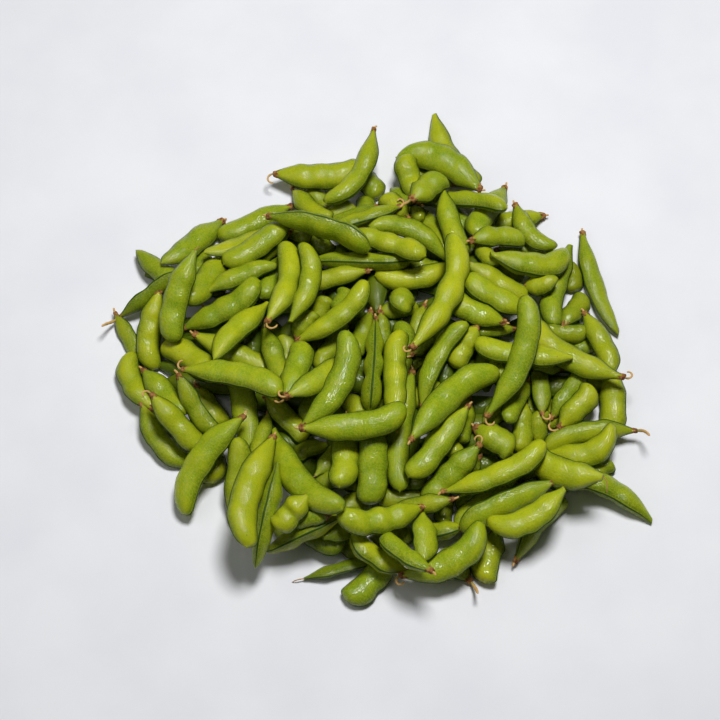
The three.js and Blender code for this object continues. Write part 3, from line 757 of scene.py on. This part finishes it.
def add_pod(shape, pod, shift, around, rings, ridge):
    """Adds one pod, with the values that its skin's colours follow."""
    vertices, share, angle = add_ball(shape, around, rings)
    angle = angle - SEAM_CROWDING * np.sin(2 * angle) / 2
    points = skin_points(pod, share, angle, ridge=ridge) - shift
    points[:, 2] = np.maximum(points[:, 2], 0)
    half = pod.width / 2
    flat = np.stack([share * pod_axes(pod)[1], np.cos(angle) * half, np.sin(angle) * half], 1)
    flat[:, 0] += POD_PATTERN_STEP * pod.number
    swell = seed_swell(pod.seeds, share)
    tone = growth(pod.number, pod.form, pod.bow).tone
    # Painted shade of the lowest layers, carried to the skin's colours.
    painted_shade_depth = PAINTED_SHADE_BY_LAYER.get(pod.layer, 0)
    layers = shape.verts.layers
    values, flat_place = layers.float_vector["pod_values"], layers.float_vector["pod_place"]
    for i, vertex in enumerate(vertices):
        vertex.co = points[i] * MM
        vertex[values] = (tone, swell[i], painted_shade_depth)
        vertex[flat_place] = flat[i]


# --- Stalk ends ----------------------------------------------------------------------------------

CALYX_BACK = 1.3  # how far a calyx reaches back along the stalk
CALYX_HOLD = 0.3  # share of a calyx's rings that are on the stalk
CALYX_FROM = 0.004  # share of the pod's length where the calyx crosses from the stalk to the pod
CALYX_LIFT = 0.24  # how far the sepals lie above the skin
CALYX_SINK = 0.9  # how far under the skin the cup is between them
CALYX_AROUND, CALYX_RINGS = 20, 18
SEPALS = 5
SEPAL_NOTCH = 0.25  # how far the calyx reaches between two sepals, as a share of their reach
SEPAL_POINT = 1.4  # above one, a sepal narrows early
SEPAL_END = 0.85  # share of the calyx's length where its sepals end
SEPAL_EDGE, SEPAL_DROP = 0.3, 1.6  # within this share past its end, a sepal drops this far
CUT_STALKS = ("stub", "curl", "stem")  # these have a calyx
STALK_RADIUS = {"stub": 0.62, "curl": 0.55, "stem": 0.8, "thread": 0.3}
STALK_LENGTH = {"stub": 3.0, "curl": 9.0, "stem": 10.0, "thread": 8.0}
STALK_RISE = {"stem": 9.0}  # how far the outer end lies above the pod's
STALK_DROP = {"stem": 1.5, "thread": 3.0}  # how far it then hangs
# How far a stalk end curls, in radians, where it reaches to no place. A stem always does.
STALK_TURNS = {"curl": (2.9, 4.4), "thread": (1.0, 2.2), "stub": (0.2, 0.9)}
STALK_STEPS = 22
STALK_ROOT = 0.8  # how deep in the pod's neck a stalk end begins
CURL_TIGHTENING = 1.3  # above one, a stalk end curls more and more towards its tip


def bezier(points, share):
    """Points on the curve that four points steer."""
    a, b, c, d = points
    share = share[:, None]
    rest = 1 - share
    return rest**3 * a + 3 * share * rest**2 * b + 3 * share**2 * rest * c + share**3 * d


def stalk_route(pod, shift):
    """The middle line of a pod's stalk end, from inside the pod's neck outwards."""
    draw = random.Random(STALK_SEED + pod.number)
    start = middle_line(pod, np.array([0.0]))[0] - shift
    along, _, up = pod_axes(pod)[2:]
    kind = pod.stalk
    length = STALK_LENGTH[kind] * draw.uniform(0.85, 1.15)
    reach = None
    if pod.reach_x is not None:
        reach = on_sight_line(pod.reach_x, pod.reach_y, start[2] + STALK_RISE.get(kind, 0)) - shift
    share = np.linspace(0, 1, STALK_STEPS)
    if reach is not None and kind != "curl":
        gap = np.linalg.norm(reach - start)
        drop = np.array([0, 0, STALK_DROP[kind]])
        before_end = reach - (reach - start) * 0.25 + up * 0.8
        route = bezier((start, start - along * gap * 0.4, before_end, reach - drop), share)
    else:
        side = draw.choice((-1, 1))
        if reach is not None:
            side = math.copysign(1, np.cross(-along, reach - start)[2])
        turns = {name: draw.uniform(*limits) for name, limits in STALK_TURNS.items()}
        angles = side * turns[kind] * share**CURL_TIGHTENING
        steps = np.outer(np.cos(angles), -along)
        steps += np.outer(np.sin(angles), np.cross((0, 0, 1), -along))
        steps[:, 2] += draw.uniform(-0.1, 0.35) * np.sin(math.pi * share)
        route = start + np.cumsum(steps, 0) * length / STALK_STEPS
    route = np.vstack([start + along * STALK_ROOT, start, route[1:]])
    route[:, 2] = np.maximum(route[:, 2], 1.2 * STALK_RADIUS[kind])
    return route


def add_tube(shape, route, radius, around, flare):
    """Adds a closed tube of changing radius along a route."""
    vertices, share, angle = add_ball(shape, around, len(route) + 2, is_even=True)
    walked = np.concatenate([[0], np.cumsum(np.linalg.norm(np.diff(route, axis=0), axis=1))])

    def route_at(distance):
        return np.stack([np.interp(distance, walked, route[:, i]) for i in range(3)], 1)

    at = share * walked[-1]
    heading = route_at(at + 0.3) - route_at(at - 0.3)
    heading /= np.linalg.norm(heading, axis=1)[:, None]
    side = np.cross((0, 0, 1), heading)
    side /= np.maximum(np.linalg.norm(side, axis=1)[:, None], 1e-6)
    over = np.cross(heading, side)
    size = radius * (1 + (flare - 1) * share**3) * np.sqrt(np.clip(1 - (2 * share - 1) ** 12, 0, 1))
    size *= 1 + 0.1 * np.sin(23 * share + 2 * angle)
    points = route_at(at) + side * (np.cos(angle) * size)[:, None]
    points += over * (np.sin(angle) * size)[:, None]
    end = shape.verts.layers.float["stalk_share"]
    for i, vertex in enumerate(vertices):
        vertex.co = points[i] * MM
        vertex[end] = share[i]


def add_calyx(shape, pod, shift, length):
    """Adds a dried calyx: a closed cup on the stalk whose sepals lie over the pod's neck."""
    phase = random.Random(CALYX_SEED + pod.number).uniform(0, 2 * math.pi)
    vertices, share, angle = add_ball(shape, CALYX_AROUND, CALYX_RINGS, is_even=True)
    on_pod = np.clip((share - CALYX_HOLD) / (1 - CALYX_HOLD), 0, 1)
    pod_share = CALYX_FROM + on_pod * length / pod_axes(pod)[1]
    waves = np.abs(np.cos(SEPALS * (angle + phase) / 2)) ** SEPAL_POINT
    sepal = SEPAL_NOTCH + (1 - SEPAL_NOTCH) * waves
    crumple = 0.16 * np.sin(3 * angle + 5 * share + phase) + 0.1 * np.sin(7 * angle - 9 * share)
    past_sepal = np.clip(on_pod - sepal * SEPAL_END, 0, 1) / SEPAL_EDGE
    lift = np.maximum(CALYX_LIFT + crumple - SEPAL_DROP * past_sepal, -CALYX_SINK)
    middle = middle_line(pod, pod_share)
    closing = np.clip((1 - share) / 0.1, 0, 1)[:, None]
    over_pod = middle + (skin_points(pod, pod_share, angle, lift=lift) - middle) * closing
    back = np.clip(1 - share / CALYX_HOLD, 0, 1)
    neck = np.full_like(share, CALYX_FROM)
    mouth = middle_line(pod, neck)
    rim = skin_points(pod, neck, angle, lift=CALYX_LIFT + crumple) - mouth
    on_stalk = mouth + rim * np.sqrt(1 - back**3)[:, None]
    on_stalk -= np.outer(back * CALYX_BACK, pod_axes(pod)[2])
    points = np.where((share < CALYX_HOLD)[:, None], on_stalk, over_pod) - shift
    points[:, 2] = np.maximum(points[:, 2], 0.05)
    for vertex, point in zip(vertices, points):
        vertex.co = point * MM


# --- Materials -----------------------------------------------------------------------------------

MIX_FACTOR, MIX_A, MIX_B, MIX_RESULT = 0, 6, 7, 2  # sockets of a colour mix
SKIN_SOCKETS = {
    "IOR": 1.45,
    "Subsurface Weight": 0.08,
    "Subsurface Scale": 1.2 * MM,
    "Subsurface Radius": (0.7, 1.0, 0.1),
    "Coat Roughness": 0.085,
}
# The skin's patterns: the size of each in millimetres, and its detail. Blotches of another green
# run over a pod, and brown specks lie on a few places. Hairs are some 0.1 mm thick: they stand in
# tufts, drawn as wide as they need to show, and the wax is bare in spots between them.
SKIN_PATTERNS = {
    "blotches": (9.0, 4),
    "veins": (1.0, 2),
    "specks": (1.6, 1),
    "tufts": (0.7, 2),
    "wax_spots": (1.1, 2),
}
# Veins run across a pod some 0.9 mm apart. They too are drawn as wide as they need to show.
VEIN_SCALE = (1 / 0.9, 1 / 2.6, 1 / 2.6)
SKIN_RELIEF = {"tufts": (1.0, 0.26), "veins": (0.3, 0.2)}  # its strength, and its height in mm
# Painted shade: the lower pods' skin is a darker copy of the upper pods' skin.
LOWER_PAINTED_SHADE = 0.92  # how light the lower pods' skin is beside the upper ones'
# What each share follows, the two values that it changes between, and the share at each. The faces
# of the valves are yellower than their sides, which are partly a greener skin and partly painted
# shade where they curve away from the light. The skin over a seed is stretched paler. Pods low in
# the heap are drawn darker green: this is painted shade, for the shade under the pods over them. A
# seam is a dark cord 0.8 mm thick with a pale rim on either side: its sides lie so close to each
# other that 1 mm round the plain section is 0.4 mm here.
SKIN_SHARES = {
    "blotch": ("blotches", 0.35, 0.7, -0.12, 0.4),
    # partly painted shade: the sides towards the seams are drawn darker where they curve away from the
    # light
    "side": ("from_seam", 0.8, 5.6, 1.0, 0.0),
    "between_seeds": ("swell", 0.0, 1.0, 0.3, 0.0),
    "vein": ("veins", 0.45, 0.75, 0.0, 0.25),
    "hair": ("tufts", 0.4, 0.7, 0.0, 0.4),
    # painted shade: pods low in the heap are darkened by their layer
    "low": ("painted_shade_depth", 0.0, 1.0, 0.0, 0.75),
    "speck": ("specks", 0.74, 0.80, 0.0, 0.7),
    "rim": ("from_seam", 2.0, 1.1, 0.0, 0.25),
    "cord": ("from_seam", 1.15, 0.7, 0.0, 0.95),
    "wax": ("wax_spots", 0.46, 0.58, 0.05, 1.0),
}

# The lights: name, place, diameter in metres and share of the power.
LIGHTS = (
    ("window_light", (0.12, 0.22, 1.1), 0.34, 1.1),
    ("room_light", (-0.7, -0.1, 0.9), 0.9, 0.15),
)
FLOOR_HALF = 1.5


def linear_colour(hex_colour):
    """Turns an sRGB hex value to linear red, green and blue."""
    channels = [int(hex_colour[i : i + 2], 16) / 255 for i in (1, 3, 5)]
    return tuple(c / 12.92 if c <= 0.04045 else ((c + 0.055) / 1.055) ** 2.4 for c in channels)


def add_node(material, kind, settings=None, values=None, links=None):
    """Adds a node with its settings, its sockets' values and its links from other nodes."""
    node = material.node_tree.nodes.new(kind)
    for name, value in (settings or {}).items():
        setattr(node, name, value)
    for socket, value in (values or {}).items():
        node.inputs[socket].default_value = value
    for socket, output in (links or {}).items():
        material.node_tree.links.new(output, node.inputs[socket])
    return node


def map_share(material, source, *limits):
    """Turns what lies between two values to what lies between two shares, 0 and 1 if not given."""
    values = dict(enumerate(limits, 1))
    return add_node(material, "ShaderNodeMapRange", values=values, links={0: source}).outputs[0]


def mix_colours(material, share, under, over):
    """Mixes a share of a colour into another colour, or into what a node gives."""
    values, links = {MIX_B: (*over, 1)}, {MIX_FACTOR: share}
    if isinstance(under, bpy.types.NodeSocket):
        links[MIX_A] = under
    else:
        values[MIX_A] = (*under, 1)
    mix = add_node(material, "ShaderNodeMix", {"data_type": "RGBA"}, values, links)
    return mix.outputs[MIX_RESULT]


def new_material(name, roughness, specular, settings=None):
    """Starts a material, and gives it and its shader with the values that are the same all over."""
    material = bpy.data.materials.new(name)
    material.use_nodes = True
    shader = material.node_tree.nodes["Principled BSDF"]
    shader.inputs["Roughness"].default_value = roughness
    shader.inputs["Specular IOR Level"].default_value = specular
    for socket, value in (settings or {}).items():
        shader.inputs[socket].default_value = value
    return material, shader


def fresh_skin(name, settings, shade):
    """Fresh soya pod skin: a waxy green leaf tissue under short pale hairs.

    The wax gives soft highlights, which the hairs break into speckles. The green is deeper between
    the seeds, and the seams are a dark cord with a paler rim.
    """
    material, shader = new_material(name, 0.5, 0.15, SKIN_SOCKETS)
    place, values = (
        add_node(material, "ShaderNodeAttribute", {"attribute_name": attribute}).outputs["Vector"]
        for attribute in ("pod_place", "pod_values")
    )
    tone, swell, painted_shade_depth = add_node(material, "ShaderNodeSeparateXYZ", links={0: values}).outputs
    offset = add_node(material, "ShaderNodeSeparateXYZ", links={0: place}).outputs["Z"]
    from_seam = add_node(
        material, "ShaderNodeMath", {"operation": "ABSOLUTE"}, links={0: offset}
    ).outputs[0]
    across = add_node(
        material, "ShaderNodeMapping", values={"Scale": VEIN_SCALE}, links={"Vector": place}
    ).outputs["Vector"]

    sources = {"swell": swell, "painted_shade_depth": painted_shade_depth, "from_seam": from_seam}
    for pattern, (size, detail) in SKIN_PATTERNS.items():
        sources[pattern] = add_node(
            material,
            "ShaderNodeTexNoise",
            values={"Scale": 1 / size, "Detail": detail},
            links={"Vector": across if pattern == "veins" else place},
        ).outputs["Fac"]
    shares = {
        share: map_share(material, sources[source], *limits)
        for share, (source, *limits) in SKIN_SHARES.items()
    }

    # Each pod has its own green, and blotches run over it.
    ripeness = add_node(
        material,
        "ShaderNodeMath",
        {"operation": "MULTIPLY_ADD", "use_clamp": True},
        {1: 0.75},
        {0: tone, 2: shares["blotch"]},
    ).outputs[0]
    skin = mix_colours(material, ripeness, settings.deep_green, settings.bright_green)
    for share, colour in (
        # partly painted shade on the sides towards the seams
        ("side", settings.side_green_and_shade),
        ("between_seeds", settings.deep_green),
        ("vein", settings.pale_green),
        ("hair", settings.pale_green),
        # painted shade on the pods low in the heap
        ("low", settings.painted_shade_green),
        ("speck", settings.speck_brown),
        ("rim", settings.pale_green),
        ("cord", settings.seam_green),
    ):
        skin = mix_colours(material, shares[share], skin, colour)
    # The skin is darkened by the given value. On the lower pods this is painted shade.
    skin = add_node(
        material, "ShaderNodeHueSaturation", values={"Value": shade}, links={"Color": skin}
    ).outputs["Color"]
    material.node_tree.links.new(skin, shader.inputs["Base Color"])

    relief = {}
    for pattern, (strength, height) in SKIN_RELIEF.items():
        bump = add_node(
            material,
            "ShaderNodeBump",
            values={"Strength": strength, "Distance": height * MM},
            links={"Height": sources[pattern], **relief},
        )
        relief = {"Normal": bump.outputs["Normal"]}
    for socket in ("Normal", "Coat Normal"):
        material.node_tree.links.new(relief["Normal"], shader.inputs[socket])

    # The cord of a seam has no wax.
    wax = add_node(
        material,
        "ShaderNodeMath",
        {"operation": "SUBTRACT", "use_clamp": True},
        links={0: shares["wax"], 1: shares["cord"]},
    ).outputs[0]
    material.node_tree.links.new(wax, shader.inputs["Coat Weight"])
    return material


def dried_fibre(name, light, dark, grain, roughness):
    """Dried plant fibre, such as a withered calyx: matt, brown and unevenly dark."""
    material, shader = new_material(name, roughness, 0.25)
    coordinates = add_node(material, "ShaderNodeTexCoord").outputs["Object"]
    noise = add_node(
        material,
        "ShaderNodeTexNoise",
        values={"Scale": 1 / (grain * MM), "Detail": 4},
        links={"Vector": coordinates},
    ).outputs["Fac"]
    colour = mix_colours(material, map_share(material, noise, 0.35, 0.65), dark, light)
    material.node_tree.links.new(colour, shader.inputs["Base Color"])
    relief = add_node(
        material,
        "ShaderNodeBump",
        values={"Strength": 0.7, "Distance": 0.3 * MM},
        links={"Height": noise},
    ).outputs["Normal"]
    material.node_tree.links.new(relief, shader.inputs["Normal"])
    return material


def cut_stalk(settings):
    """Green stalk that has begun to dry: fibrous and matt, tan towards the torn end."""
    colours = settings.stalk_green, settings.stalk_shade
    material = dried_fibre("cut_stalk_fibre", *colours, grain=1.2, roughness=0.6)
    shader = material.node_tree.nodes["Principled BSDF"]
    green = shader.inputs["Base Color"].links[0].from_socket
    end = add_node(material, "ShaderNodeAttribute", {"attribute_name": "stalk_share"}).outputs["Fac"]
    dry_share = map_share(material, end, 0.05, 0.45)
    colour = mix_colours(material, dry_share, green, settings.stalk_tan)
    material.node_tree.links.new(colour, shader.inputs["Base Color"])
    return material


def floor_surface(settings):
    """Matt painted board: pale, with a faint unevenness in its colour."""
    colours = settings.floor_colour, settings.floor_shade
    return dried_fibre("matt_painted_board", *colours, grain=60, roughness=0.7)


# --- Pieces --------------------------------------------------------------------------------------


def finish_piece(shape, name, material, nodes=()):
    """Turns a shape to a smooth piece that rides on the heap, in place of nodes of the frame."""
    mesh = bpy.data.meshes.new(name)
    shape.to_mesh(mesh)
    shape.free()
    for polygon in mesh.polygons:
        polygon.use_smooth = True
    mesh.materials.append(material)
    piece = bpy.data.objects.new(name, mesh)
    bpy.context.collection.objects.link(piece)
    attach(piece, "root")
    if nodes:
        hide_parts(*nodes)
    return piece


def make_pods(prefix, material, settings):
    """Makes one piece for each node of the frame whose name starts with the prefix."""
    pods, shift = settled_heap()
    for node in sorted(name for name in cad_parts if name.startswith(prefix)):
        members = [pod for pod in pods if pod.node == node]
        if not members:
            raise RuntimeError(f"no pod belongs to {node}")
        shape = bmesh.new()
        shape.verts.layers.float_vector.new("pod_values")
        shape.verts.layers.float_vector.new("pod_place")
        for pod in members:
            share = HIDDEN_DETAIL if pod.layer < 0 else 1
            around, rings = round(settings.around * share), round(settings.rings * share)
            add_pod(shape, pod, shift, around, rings, settings.seam_ridge / MM)
        finish_piece(shape, f"fresh_{node}", material, (node,))


def colour_property(name, description, hex_colour):
    """A colour that a user may change."""
    return bpy.props.FloatVectorProperty(
        name=name, description=description, default=linear_colour(hex_colour), subtype="COLOR"
    )


def size_property(name, description, default, least, most):
    """A length that a user may change, given in millimetres."""
    return bpy.props.FloatProperty(
        name=name,
        description=description,
        default=default * MM,
        min=least * MM,
        max=most * MM,
        precision=5,
        unit="LENGTH",
    )


def make_stalks(name, kinds, material, around, flare):
    """Makes one piece of all stalk ends of some kinds."""
    pods, shift = settled_heap()
    shape = bmesh.new()
    shape.verts.layers.float.new("stalk_share")
    for pod in pods:
        if pod.stalk in kinds:
            add_tube(shape, stalk_route(pod, shift), STALK_RADIUS[pod.stalk], around, flare)
    finish_piece(shape, name, material)


class PodSettings(bpy.types.PropertyGroup):
    """The pods' detail and colours."""

    around: bpy.props.IntProperty(
        name="Points around", description="Points round each pod", default=24, min=8, max=64
    )
    rings: bpy.props.IntProperty(
        name="Rings", description="Rings along each pod", default=40, min=8, max=96
    )
    seam_ridge: size_property("Seam ridge", "How far the cord of a seam stands out", 0.3, 0, 1)
    bright_green: colour_property("Bright green", "Skin of the yellowest pods", "#b2b808")
    deep_green: colour_property("Deep green", "Skin of the greenest pods", "#729006")
    # Partly painted shade: the sides towards a seam are darker where they curve away from the light.
    side_green_and_shade: colour_property("Side green", "Skin on the sides of a pod, towards its seams", "#3c5e04")
    pale_green: colour_property("Pale green", "Veins, hairs and the seams' rims", "#bfc236")
    # Painted shade: the green that the pods low in the heap are darkened towards.
    painted_shade_green: colour_property("Low green", "Skin of the pods low in the heap", "#2f4a04")
    seam_green: colour_property("Seam green", "The cord of a seam", "#27480c")
    speck_brown: colour_property("Speck brown", "Specks on the skin", "#7a6a1e")


class TrimSettings(bpy.types.PropertyGroup):
    """The size and colours of the calyxes and stalk ends."""

    calyx_length: size_property("Calyx length", "How far the sepals reach over a pod", 2.8, 1, 10)
    calyx_light: colour_property("Calyx light", "Dried sepals", "#a97a42")
    calyx_dark: colour_property("Calyx dark", "Dark parts of sepals", "#5b2f16")
    stalk_green: colour_property("Stalk green", "Stalk beside the pod", "#8f9a3c")
    stalk_shade: colour_property("Stalk shade", "Dark fibres of a stalk", "#6b6a26")
    stalk_tan: colour_property("Stalk tan", "Dry end of a stalk", "#cfa564")
    thread_tan: colour_property("Thread tan", "Dried flower threads", "#b8935a")


class StageSettings(bpy.types.PropertyGroup):
    """The camera, the light and the floor."""

    lens: bpy.props.FloatProperty(
        name="Lens", description="Focal length", default=85.0, min=10, max=300, unit="CAMERA"
    )
    light_power: bpy.props.FloatProperty(
        name="Light power",
        description="Power of the lights",
        default=10.8,
        min=0,
        max=500,
        unit="POWER",
    )
    sky_strength: bpy.props.FloatProperty(
        name="Sky strength",
        description="Strength of the light from all round",
        default=0.05,
        min=0,
        max=5,
    )
    sky_colour: colour_property("Sky colour", "Light from all round", "#fafbff")
    floor_colour: colour_property("Floor colour", "The floor", "#eaebee")
    floor_shade: colour_property("Floor shade", "The floor's darker parts", "#e4e5ea")


class EDAMAME_OT_stage(bpy.types.Operator):
    """Add the camera, the lights, the world and the floor"""

    bl_idname = "edamame.stage"
    bl_label = "Stage"

    def execute(self, context):
        settings = context.scene.edamame_stage
        shift = settled_heap()[1]
        camera_data = bpy.data.cameras.new("camera")
        camera_data.lens = settings.lens
        camera_data.sensor_width = 36
        camera_data.clip_start = 0.01
        camera = bpy.data.objects.new("camera", camera_data)
        camera.location = Vector(EYE - shift) * MM
        camera.rotation_euler = (math.pi / 2 - EYE_ELEVATION, 0, 0)
        context.collection.objects.link(camera)
        context.scene.camera = camera

        for name, place, size, power in LIGHTS:
            light_data = bpy.data.lights.new(name, "AREA")
            light_data.shape = "DISK"
            light_data.size = size
            light_data.energy = power * settings.light_power
            light = bpy.data.objects.new(name, light_data)
            light.location = place
            light.rotation_euler = (-Vector(place)).to_track_quat("-Z", "Y").to_euler()
            context.collection.objects.link(light)

        world = bpy.data.worlds.new("soft_sky")
        world.use_nodes = True
        background = world.node_tree.nodes["Background"]
        background.inputs["Color"].default_value = (*settings.sky_colour, 1)
        background.inputs["Strength"].default_value = settings.sky_strength
        context.scene.world = world
        context.scene.view_settings.view_transform = "Standard"

        shape = bmesh.new()
        bmesh.ops.create_grid(shape, x_segments=1, y_segments=1, size=FLOOR_HALF)
        mesh = bpy.data.meshes.new("floor")
        shape.to_mesh(mesh)
        shape.free()
        mesh.materials.append(floor_surface(settings))
        floor = bpy.data.objects.new("floor", mesh)
        context.collection.objects.link(floor)
        return {"FINISHED"}


class EDAMAME_OT_upper_pods(bpy.types.Operator):
    """Add the pods on top of the heap, each in place of its node"""

    bl_idname = "edamame.upper_pods"
    bl_label = "Upper pods"

    def execute(self, context):
        settings = context.scene.edamame_pods
        make_pods("top_pod_", fresh_skin("fresh_pod_skin", settings, 1.0), settings)
        return {"FINISHED"}


class EDAMAME_OT_lower_pods(bpy.types.Operator):
    """Add the pods under the top of the heap, in place of their nodes"""

    bl_idname = "edamame.lower_pods"
    bl_label = "Lower pods"

    def execute(self, context):
        settings = context.scene.edamame_pods
        # The lower pods' darker copy of the skin is painted shade.
        material = fresh_skin("fresh_pod_skin_painted_shade", settings, LOWER_PAINTED_SHADE)
        make_pods("lower_pods_", material, settings)
        return {"FINISHED"}


class EDAMAME_OT_calyxes(bpy.types.Operator):
    """Add the dried calyxes round the pods' necks"""

    bl_idname = "edamame.calyxes"
    bl_label = "Calyxes"

    def execute(self, context):
        settings = context.scene.edamame_trims
        pods, shift = settled_heap()
        shape = bmesh.new()
        for pod in pods:
            if pod.stalk in CUT_STALKS:
                add_calyx(shape, pod, shift, settings.calyx_length / MM)
        colours = settings.calyx_light, settings.calyx_dark
        material = dried_fibre("withered_sepal", *colours, grain=1.5, roughness=0.85)
        finish_piece(shape, "dried_calyxes", material)
        return {"FINISHED"}


class EDAMAME_OT_stalk_ends(bpy.types.Operator):
    """Add the torn ends of the stalks"""

    bl_idname = "edamame.stalk_ends"
    bl_label = "Stalk ends"

    def execute(self, context):
        material = cut_stalk(context.scene.edamame_trims)
        make_stalks("stalk_ends", CUT_STALKS, material, around=10, flare=0.75)
        return {"FINISHED"}


class EDAMAME_OT_flower_threads(bpy.types.Operator):
    """Add the dried threads left of the flowers"""

    bl_idname = "edamame.flower_threads"
    bl_label = "Flower threads"

    def execute(self, context):
        settings = context.scene.edamame_trims
        colours = settings.thread_tan, settings.calyx_light
        material = dried_fibre("dried_flower_thread", *colours, grain=2.0, roughness=0.8)
        make_stalks("flower_threads", ("thread",), material, around=8, flare=0.6)
        return {"FINISHED"}


class EDAMAME_PT_heap(bpy.types.Panel):
    """The heap's settings and steps"""

    bl_idname = "EDAMAME_PT_heap"
    bl_label = "Edamame pod heap"
    bl_space_type = "VIEW_3D"
    bl_region_type = "UI"
    bl_category = "Edamame"

    def draw(self, context):
        for group_name in GROUPS:
            group = getattr(context.scene, group_name)
            box = self.layout.box()
            for name in group.__annotations__:
                box.prop(group, name)
        for step in STEPS:
            self.layout.operator(step.bl_idname)


STEPS = (
    EDAMAME_OT_stage,
    EDAMAME_OT_upper_pods,
    EDAMAME_OT_lower_pods,
    EDAMAME_OT_calyxes,
    EDAMAME_OT_stalk_ends,
    EDAMAME_OT_flower_threads,
)
GROUPS = {
    "edamame_stage": StageSettings,
    "edamame_pods": PodSettings,
    "edamame_trims": TrimSettings,
}


def register():
    """Registers the settings, the operators and the panel."""
    for name, group in GROUPS.items():
        bpy.utils.register_class(group)
        setattr(bpy.types.Scene, name, bpy.props.PointerProperty(type=group))
    for step in (*STEPS, EDAMAME_PT_heap):
        bpy.utils.register_class(step)


def unregister():
    """Takes away what register added."""
    for step in reversed((*STEPS, EDAMAME_PT_heap)):
        bpy.utils.unregister_class(step)
    for name, group in GROUPS.items():
        delattr(bpy.types.Scene, name)
        bpy.utils.unregister_class(group)


def main():
    """Builds the heap."""
    register()
    bpy.ops.edamame.stage()
    bpy.ops.edamame.upper_pods()
    bpy.ops.edamame.lower_pods()
    bpy.ops.edamame.calyxes()
    bpy.ops.edamame.stalk_ends()
    bpy.ops.edamame.flower_threads()


if __name__ == "__main__":
    main()
